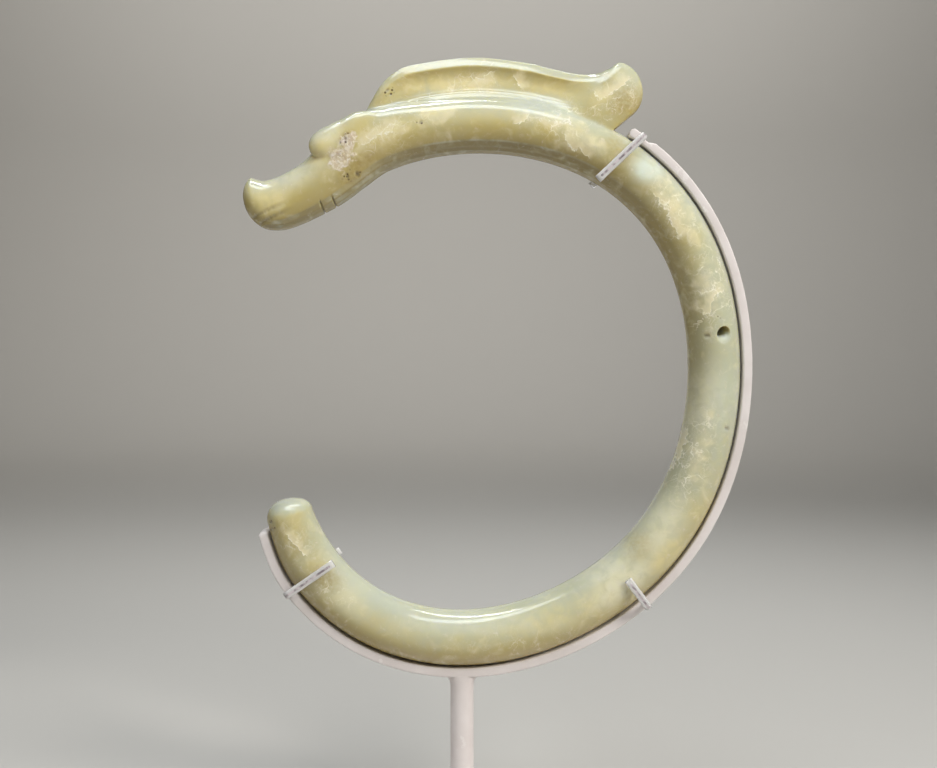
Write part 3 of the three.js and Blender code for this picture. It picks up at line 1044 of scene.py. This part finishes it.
def calc(tree, operation, a, b=0):
    return addNode(tree, "ShaderNodeMath", {0: a, 1: b}, operation=operation).outputs[0]


def times(tree, a, b):
    return calc(tree, "MULTIPLY", a, b)


def plus(tree, a, b):
    return calc(tree, "ADD", a, b)


def blend(tree, factor, a, b):
    made = addNode(tree, "ShaderNodeMix", {0: factor, 6: a, 7: b}, data_type="RGBA")
    return made.outputs[2]


def remap(tree, value, low, high, toLow=0, toHigh=1):
    inputs = {"Value": value, "From Min": low, "From Max": high, "To Min": toLow, "To Max": toHigh}
    made = addNode(tree, "ShaderNodeMapRange", inputs, interpolation_type="SMOOTHSTEP")
    return made.outputs[0]


def cloud(tree, place, scale, detail=3, distortion=0):
    inputs = {"Vector": place, "Scale": scale, "Detail": detail, "Distortion": distortion}
    return addNode(tree, "ShaderNodeTexNoise", inputs).outputs[0]


def cells(tree, place, scale, feature="F1", output="Distance"):
    made = addNode(tree, "ShaderNodeTexVoronoi", {"Vector": place, "Scale": scale}, feature=feature)
    return made.outputs[output]


def newGroup(name, values, outputs):
    # each group takes a place in millimetres and plain values, and gives plain values
    tree = bpy.data.node_groups.new(name, "ShaderNodeTree")
    tree.interface.new_socket("Place", in_out="INPUT", socket_type="NodeSocketVector")
    for label, value in values.items():
        socket = tree.interface.new_socket(label, in_out="INPUT", socket_type="NodeSocketFloat")
        socket.default_value = value
    for label in outputs:
        tree.interface.new_socket(label, in_out="OUTPUT", socket_type="NodeSocketFloat")
    given = tree.nodes.new("NodeGroupInput").outputs
    sink = tree.nodes.new("NodeGroupOutput").inputs
    return tree, given, sink


def useGroup(tree, group, inputs):
    return addNode(tree, "ShaderNodeGroup", inputs, node_tree=group).outputs


def newLook(name):
    look = bpy.data.materials.new(name)
    look.use_nodes = True
    tree = look.node_tree
    shader = tree.nodes["Principled BSDF"]
    where = addNode(tree, "ShaderNodeTexCoord").outputs["Object"]
    inputs = {"Vector": where, "Scale": (1 / mm, 1 / mm, 1 / mm)}
    place = addNode(tree, "ShaderNodeMapping", inputs).outputs[0]
    return look, tree, shader, place


def setValues(shader, values):
    for label, value in values.items():
        shader.inputs[label].default_value = value


def bumpInto(tree, shader, height, strength, distance):
    inputs = {"Height": height, "Strength": strength, "Distance": distance}
    made = addNode(tree, "ShaderNodeBump", inputs)
    tree.links.new(made.outputs[0], shader.inputs["Normal"])


# groups that more than one finish uses

def handledGroup():
    # wipe marks and fine wear of something handled and cleaned
    tree, given, sink = newGroup("handledSurface", {"Size": 0.1, "Amount": 0.1}, ("Roughness", "Height"))
    broad = cloud(tree, given["Place"], given["Size"], 4, 0.6)
    fine = cloud(tree, given["Place"], times(tree, given["Size"], 14), 2)
    both = plus(tree, times(tree, broad, 0.75), times(tree, fine, 0.25))
    centred = calc(tree, "SUBTRACT", both, 0.5)
    plug(tree, sink["Roughness"], times(tree, centred, given["Amount"]))
    plug(tree, sink["Height"], times(tree, fine, given["Amount"]))
    return tree


def dustAndTopShadeGroup():
    # settled dust on faces that look up; on the jade the same mask is painted shade that darkens and cools
    # the upward faces
    tree, given, sink = newGroup("settledDustAndTopShade", {"Size": 0.3, "Amount": 0.2}, ("Mask",))
    facing = addNode(tree, "ShaderNodeNewGeometry").outputs["Normal"]
    up = addNode(tree, "ShaderNodeSeparateXYZ", {0: facing}).outputs["Z"]
    broken = remap(tree, cloud(tree, given["Place"], given["Size"], 5), 0.35, 0.7)
    lying = times(tree, remap(tree, up, 0.05, 0.8), broken)
    plug(tree, sink["Mask"], times(tree, lying, given["Amount"]))
    return tree


def brokenGroup():
    # a soft mask torn up by noise, for edges of patches and worn paint
    values = {"Paint": 0, "Size": 0.3, "Ragged": 0.6, "Level": 0.5, "Soft": 0.15}
    tree, given, sink = newGroup("brokenMask", values, ("Mask",))
    torn = calc(tree, "SUBTRACT", cloud(tree, given["Place"], given["Size"], 6, 0.8), 0.5)
    shifted = plus(tree, given["Paint"], times(tree, torn, given["Ragged"]))
    low = calc(tree, "SUBTRACT", given["Level"], given["Soft"])
    high = plus(tree, given["Level"], times(tree, given["Soft"], 0.5))
    plug(tree, sink["Mask"], remap(tree, shifted, low, high))
    return tree


def buildLooks():
    handled = handledGroup()
    dust = dustAndTopShadeGroup()
    broken = brokenGroup()
    return {
        "jade": jadeLook(handled, dust, broken),
        "paint": paintLook(handled, dust, broken),
        "pin": prongLook(pinFinish, handled, dust),
        "sleeve": prongLook(sleeveFinish, handled, dust),
    }


# stone colours are scene linear
jadeColours = {
    "celadon": (0.54, 0.555, 0.415, 1),
    "olive": (0.64, 0.54, 0.225, 1),
    "milk": (0.82, 0.80, 0.61, 1),
    "honey": (0.85, 0.755, 0.40, 1),
    # colour of the painted shade on faces turned down and to the left
    "sideShade": (0.33, 0.24, 0.05, 1),
    # colour of the painted shade on the inner flats
    "rimShade": (0.29, 0.235, 0.115, 1),
    "pale": (0.72, 0.78, 0.70, 1),
    "cream": (0.88, 0.81, 0.57, 1),
    "vein": (0.98, 0.95, 0.82, 1),
    "crystal": (0.96, 0.89, 0.83, 1),
    "sugarShade": (0.70, 0.59, 0.45, 1),
    "stain": (0.42, 0.31, 0.10, 1),
    "speck": (0.10, 0.06, 0.025, 1),
    # colour of the painted shade laid on faces that look up
    "topShadeHaze": (0.53, 0.56, 0.475, 1),
    "roughness": 0.12,
}
jadeFinish = {
    "Subsurface Weight": 0.8,
    "Subsurface Radius": (1, 0.92, 0.52),
    "Subsurface Scale": 0.0037,  # metres
    "IOR": 1.61,
    "Coat Weight": 0.4,
    "Coat IOR": 1.5,
    "Coat Roughness": 0.05,
}

# washes over the stone in turn: paint layer, the cloud that breaks it up, from and to, share there
jadeWashes = (
    ("milk", "mottle", 0.3, 0.6, 0.45, 0.9),
    ("honey", "mottle", 0.25, 0.65, 0.4, 0.9),
    ("pale", "mottle", 0.2, 0.75, 0.45, 1),
    ("stain", "fine", 0.25, 0.75, 0.25, 0.75),
)


def stoneBody(tree, paint, clouds):
    # green to olive ground, with painted shade on faces turned down and on the inner flats, painted
    # highlights on the arrises between the flats, then the washes
    mottle = clouds["mottle"]
    sway = plus(tree, times(tree, clouds["drift"], 0.7), times(tree, mottle, 0.4))
    # the warm layer carries painted shade on faces that look down and painted light on faces that look up
    tone = plus(tree, paint["warm"], calc(tree, "SUBTRACT", sway, 0.55))
    colour = blend(tree, remap(tree, tone, 0.12, 0.95), jadeColours["celadon"], jadeColours["olive"])
    # painted shade on faces turned down and to the left
    colour = blend(tree, times(tree, paint["sideShade"], 0.8), colour, jadeColours["sideShade"])
    # painted shade on the inner flats
    colour = blend(tree, times(tree, paint["rimShade"], 0.6), colour, jadeColours["rimShade"])
    # painted highlights along the arrises between the flats
    arrisGlint = times(tree, paint["arrisHighlight"], remap(tree, mottle, 0.3, 0.6, 0.1, 0.35))
    colour = blend(tree, arrisGlint, colour, jadeColours["pale"])
    for kind, breaking, *spans in jadeWashes:
        wash = times(tree, paint[kind], remap(tree, clouds[breaking], *spans))
        if kind == "milk":  # wisps of it run through all the stone
            wisps = times(tree, remap(tree, mottle, 0.5, 0.8), 0.4)
            wash = calc(tree, "MAXIMUM", wisps, wash)
        colour = blend(tree, wash, colour, jadeColours[kind])
    return colour


def stoneCracks(tree, place, paint, clouds, broken, colour):
    creamPaint = times(tree, paint["cream"], 0.8)
    inputs = {"Place": place, "Paint": creamPaint, "Size": 0.13, "Ragged": 2, "Soft": 0.42}
    torn = useGroup(tree, broken, inputs)["Mask"]
    inCream = times(tree, torn, remap(tree, clouds["mottle"], 0.3, 0.7, 0.25, 0.6))
    # each healed crack is pale on one side, fading away from a bright torn line
    jagged = calc(tree, "SUBTRACT", cloud(tree, place, 0.3, 6, 0.5), 0.5)
    offCrack = plus(tree, paint["crackSide"], times(tree, jagged, 0.9))
    fading = remap(tree, offCrack, 0.05, 0.8, 0.7, 0)
    paleSide = times(tree, remap(tree, offCrack, 0, 0.05), fading)
    inCream = calc(tree, "MAXIMUM", inCream, times(tree, paleSide, paint["crack"]))
    colour = blend(tree, inCream, colour, jadeColours["cream"])
    offLine = calc(tree, "ABSOLUTE", calc(tree, "SUBTRACT", offCrack, 0.04))
    tornLine = remap(tree, offLine, 0, 0.05, 1, 0)
    tornLine = times(tree, tornLine, remap(tree, clouds["fine"], 0.38, 0.58, 0.1, 0.8))
    return blend(tree, times(tree, tornLine, paint["crack"]), colour, jadeColours["vein"])


def stoneVeins(tree, place, paint):
    # fine crackle: thin walls between warped cells, broad and small
    inputs = {"Vector": place, "Scale": 0.25, "Detail": 4}
    warp = addNode(tree, "ShaderNodeTexNoise", inputs).outputs["Color"]
    inputs = {0: warp, 1: (8, 8, 8)}
    warped = addNode(tree, "ShaderNodeVectorMath", inputs, operation="MULTIPLY").outputs[0]
    shaken = addNode(tree, "ShaderNodeVectorMath", {0: place, 1: warped}, operation="ADD").outputs[0]
    broad = remap(tree, cells(tree, shaken, 0.12, "DISTANCE_TO_EDGE"), 0, 0.04, 1, 0)
    small = remap(tree, cells(tree, shaken, 0.42, "DISTANCE_TO_EDGE"), 0, 0.07, 0.45, 0)
    lines = calc(tree, "MAXIMUM", broad, small)
    faint = remap(tree, cloud(tree, place, 0.2, 3), 0.38, 0.6)
    return times(tree, times(tree, lines, faint), paint["veins"])


def jadeLook(handled, dust, broken):
    look, tree, shader, place = newLook("polishedJade")
    paint = {}
    for kind in stoneLayers + ("warm", "sideShade", "rimShade", "arrisHighlight", "crackSide", "crack", "cutDarkening"):
        settings = {"attribute_name": kind + "Paint", "attribute_type": "GEOMETRY"}
        paint[kind] = addNode(tree, "ShaderNodeAttribute", **settings).outputs["Fac"]
    clouds = {
        "drift": cloud(tree, place, 0.04, 3, 1),
        "mottle": cloud(tree, place, 0.17, 4, 0.7),
        "fine": cloud(tree, place, 0.75, 4),
    }
    colour = stoneBody(tree, paint, clouds)
    colour = stoneCracks(tree, place, paint, clouds, broken, colour)
    veins = stoneVeins(tree, place, paint)
    colour = blend(tree, times(tree, veins, 0.9), colour, jadeColours["vein"])

    # the sugary patch, dark specks, darkening in the cuts, and painted shade that darkens and cools the
    # faces that look up
    grains = cells(tree, place, 1.2, "F1", "Color")
    grain = addNode(tree, "ShaderNodeSeparateColor", {0: grains}).outputs[0]
    inputs = {"Place": place, "Paint": paint["crystal"], "Size": 0.4, "Ragged": 1.5, "Soft": 0.4}
    sugar = useGroup(tree, broken, inputs)["Mask"]
    sugarTone = blend(tree, remap(tree, grain, 0.1, 0.9), jadeColours["sugarShade"], jadeColours["crystal"])
    colour = blend(tree, times(tree, sugar, 0.75), colour, sugarTone)
    spots = remap(tree, cells(tree, place, 0.6), 0.2, 0.38, 1, 0)
    specks = times(tree, spots, remap(tree, paint["speck"], 0.2, 0.7))
    # darker in the mouth lines, jaw cuts and pits, and rougher there
    cutDarkening = times(tree, paint["cutDarkening"], 0.55)
    dark = calc(tree, "MAXIMUM", times(tree, specks, 0.85), cutDarkening)
    colour = blend(tree, dark, colour, jadeColours["speck"])
    # painted shade: the dust mask darkens and cools the faces that look up
    lying = useGroup(tree, dust, {"Place": place, "Size": 0.04, "Amount": 0.8})["Mask"]
    colour = blend(tree, lying, colour, jadeColours["topShadeHaze"])
    plug(tree, shader.inputs["Base Color"], colour)

    worn = useGroup(tree, handled, {"Place": place, "Size": 0.06, "Amount": 0.14})
    rough = plus(tree, worn["Roughness"], jadeColours["roughness"])
    for mask, share in ((sugar, 0.25), (veins, 0.12), (paint["cutDarkening"], 0.3)):
        rough = plus(tree, rough, times(tree, mask, share))
    plug(tree, shader.inputs["Roughness"], rough)
    raised = times(tree, times(tree, sugar, grain), 0.8)
    height = plus(tree, worn["Height"], raised)
    height = calc(tree, "SUBTRACT", height, times(tree, specks, 0.6))
    bumpInto(tree, shader, height, 0.35, 0.0003)
    setValues(shader, jadeFinish)
    return look


paintColours = {
    "coat": (0.80, 0.745, 0.73, 1),
    "warm": (0.72, 0.66, 0.64, 1),
    "worn": (0.88, 0.84, 0.82, 1),
    "dust": (0.74, 0.70, 0.66, 1),
    "roughness": 0.42,
}


def paintLook(handled, dust, broken):
    look, tree, shader, place = newLook("cradlePaint")
    tone = remap(tree, cloud(tree, place, 0.05, 4), 0.3, 0.7)
    colour = blend(tree, tone, paintColours["coat"], paintColours["warm"])
    thin = remap(tree, cloud(tree, place, 0.11, 2), 0.5, 0.8)
    inputs = {"Place": place, "Paint": thin, "Size": 0.9, "Ragged": 1, "Level": 0.62}
    scuffs = useGroup(tree, broken, inputs)["Mask"]
    colour = blend(tree, times(tree, scuffs, 0.5), colour, paintColours["worn"])
    lying = useGroup(tree, dust, {"Place": place, "Size": 0.25, "Amount": 0.35})["Mask"]
    colour = blend(tree, lying, colour, paintColours["dust"])
    plug(tree, shader.inputs["Base Color"], colour)
    marks = useGroup(tree, handled, {"Place": place, "Size": 0.09, "Amount": 0.22})
    rough = plus(tree, marks["Roughness"], paintColours["roughness"])
    plug(tree, shader.inputs["Roughness"], plus(tree, rough, times(tree, lying, 0.4)))
    peel = cloud(tree, place, 2.4, 2)
    height = plus(tree, marks["Height"], times(tree, peel, 0.5))
    bumpInto(tree, shader, height, 0.18, 0.00025)
    setValues(shader, {"Coat Weight": 0.12, "Coat Roughness": 0.2})
    return look


# a prong's pin and its clear sleeve; tone is the size of its cloud, from and to
pinFinish = {
    "name": "prongPin",
    "colours": ((0.62, 0.56, 0.575, 1), (0.24, 0.20, 0.215, 1)),
    "tone": (0.4, 0.35, 0.65),
    "dust": {"Size": 0.5, "Amount": 0.2},
    "wear": {"Size": 0.3, "Amount": 0.25},
    "roughness": 0.3,
    "bump": 0.15,
    "shader": {"Metallic": 0.1},
}
sleeveFinish = {
    "name": "clearSleeve",
    "colours": ((0.98, 0.97, 0.96, 1), (0.92, 0.90, 0.90, 1)),
    "tone": (0.6, 0.4, 0.7),
    "dust": {"Size": 0.7, "Amount": 0.15},
    "wear": {"Size": 0.35, "Amount": 0.2},
    "roughness": 0.1,
    "bump": 0.2,
    "shader": {"Transmission Weight": 0.4, "IOR": 1.45, "Coat Weight": 0.5},
}


def prongLook(finish, handled, dust):
    look, tree, shader, place = newLook(finish["name"])
    size, low, high = finish["tone"]
    tone = remap(tree, cloud(tree, place, size, 4), low, high)
    colour = blend(tree, tone, *finish["colours"])
    lying = useGroup(tree, dust, {"Place": place, **finish["dust"]})["Mask"]
    colour = blend(tree, lying, colour, paintColours["dust"])
    plug(tree, shader.inputs["Base Color"], colour)
    marks = useGroup(tree, handled, {"Place": place, **finish["wear"]})
    plug(tree, shader.inputs["Roughness"], plus(tree, marks["Roughness"], finish["roughness"]))
    bumpInto(tree, shader, marks["Height"], finish["bump"], 0.0002)
    setValues(shader, finish["shader"])
    return look


looks = buildLooks()
print("finishes ready:", ", ".join(looks))

dragon = buildDragon()
settle(dragon, looks["jade"], "jade", "dragon")
print("dragon ready:", len(dragon.data.polygons), "faces")

settle(buildRail(), looks["paint"], "cradle_paint", "cradle_rail")
settle(buildStem(), looks["paint"], "cradle_paint", "stem")
settle(buildFoot(), looks["paint"], "cradle_paint", "foot")
print("cradle ready:", buildProngs(looks["pin"], looks["sleeve"]), "prongs")


# studio, lengths in metres
studio = {
    "sweepRadius": 0.6,
    "wallTop": 2.2,
    "sides": 96,
    "sweepSteps": 16,
    "floorRings": (0.3, 1.3),
    "colour": (0.53, 0.515, 0.485, 1),
    "roughness": 0.75,
    "airColour": (1, 0.95, 0.88, 1),
    "airStrength": 0.12,
}
lamps = {
    "stripLamp": {
        "place": (-0.1, 0.22, 1.3), "aim": (0, 0, 0.25), "size": (0.9, 0.06),
        "watts": 1.5, "spread": 100, "tint": (0.88, 0.94, 1), "shine": True,
    },
    "sheenLamp": {
        "place": (-0.1, -0.3, 1.3), "aim": (0, 0, 0.25), "size": (1, 0.3),
        "watts": 1.3, "spread": 100, "tint": (0.86, 0.94, 1), "shine": True,
    },
    "overheadLamp": {
        "place": (-0.2, -0.62, 1.3), "aim": (0, 0, 0.22), "size": (1.3, 0.7),
        "watts": 3.8, "spread": 100, "tint": (0.92, 0.96, 1), "shine": False,
    },
    "ceilingLamp": {
        "place": (0.1, 0.2, 1.5), "aim": (0, 0.1, 0.2), "size": (1.2, 0.7),
        "watts": 1, "spread": 110, "tint": (0.82, 0.92, 1), "shine": False,
    },
    "rightLamp": {
        "place": (0.85, -0.75, 0.95), "aim": (0, 0, 0.2), "size": (0.45, 0.45),
        "watts": 2.7, "spread": 80, "tint": (1, 0.96, 0.9), "shine": False,
    },
    "backdropLamp": {
        "place": (0, 0.75, 1.7), "aim": (0, 1.9, 0.75), "size": (1.6, 0.3),
        "watts": 7.5, "spread": 100, "tint": (1, 0.99, 0.97), "shine": False,
    },
    "frontWallLamp": {
        "place": (0, -0.75, 1.7), "aim": (0, -1.9, 0.75), "size": (1.6, 0.3),
        "watts": 2.5, "spread": 100, "tint": (1, 0.99, 0.97), "shine": False,
    },
    "backLamp": {
        "place": (0.35, 0.9, 1.05), "aim": (0, 0, 0.22), "size": (0.9, 0.5),
        "watts": 1.6, "spread": 90, "tint": (0.95, 0.98, 1), "shine": False,
    },
}


def buildStage():
    sweep = studio["sweepRadius"]
    outline = [(reach, 0) for reach in studio["floorRings"]]
    radius = outline[-1][0]
    for level, out in quarterTurn(studio["sweepSteps"])[1:]:
        outline.append((radius + sweep * out, sweep * (1 - level)))
    outline.append((radius + sweep, studio["wallTop"]))
    rings = [[Vector()]]
    for reach, height in outline:
        rings.append([Vector((reach * x, reach * y, height)) for x, y in circle(studio["sides"])])
    floor = newPiece("studioFloor", *loft(rings))
    look, tree, shader, place = newLook("paleFloor")
    setValues(shader, {"Base Color": studio["colour"], "Roughness": studio["roughness"]})
    floor.data.materials.append(look)


def buildLight():
    for name, facts in lamps.items():
        lamp = bpy.data.lights.new(name, "AREA")
        lamp.shape = "RECTANGLE"
        lamp.size = facts["size"][0]
        lamp.size_y = facts["size"][1]
        lamp.energy = facts["watts"]
        lamp.spread = math.radians(facts["spread"])
        lamp.color = facts["tint"]
        lampObject = addObject(name, lamp)
        lampObject.location = facts["place"]
        heading = Vector(facts["aim"]) - Vector(facts["place"])
        lampObject.rotation_euler = heading.to_track_quat("-Z", "Y").to_euler()
        lampObject.visible_camera = False
        lampObject.visible_glossy = facts["shine"]  # two only shine, the others only fill
        lampObject.visible_diffuse = not facts["shine"]
    world = bpy.data.worlds.new("studioAir")
    world.use_nodes = True
    air = world.node_tree.nodes["Background"]
    air.inputs["Color"].default_value = studio["airColour"]
    air.inputs["Strength"].default_value = studio["airStrength"]
    bpy.context.scene.world = world
    bpy.context.scene.view_settings.view_transform = "Standard"


viewpoint = {
    "place": (0.00278, -0.45, 0.22767),
    "pitch": 1.9,  # degrees below level
    "lens": 40.88,
    "sensor": 36,
    "shiftY": -0.037,
    "near": 0.01,
}


def buildCamera():
    camera = bpy.data.cameras.new("photoView")
    camera.lens = viewpoint["lens"]
    camera.sensor_width = viewpoint["sensor"]
    camera.shift_y = viewpoint["shiftY"]
    camera.clip_start = viewpoint["near"]
    cameraObject = addObject("photoView", camera)
    cameraObject.location = viewpoint["place"]
    cameraObject.rotation_euler = (math.radians(90 - viewpoint["pitch"]), 0, 0)
    bpy.context.scene.camera = cameraObject


buildStage()
buildLight()
buildCamera()
print("studio ready")
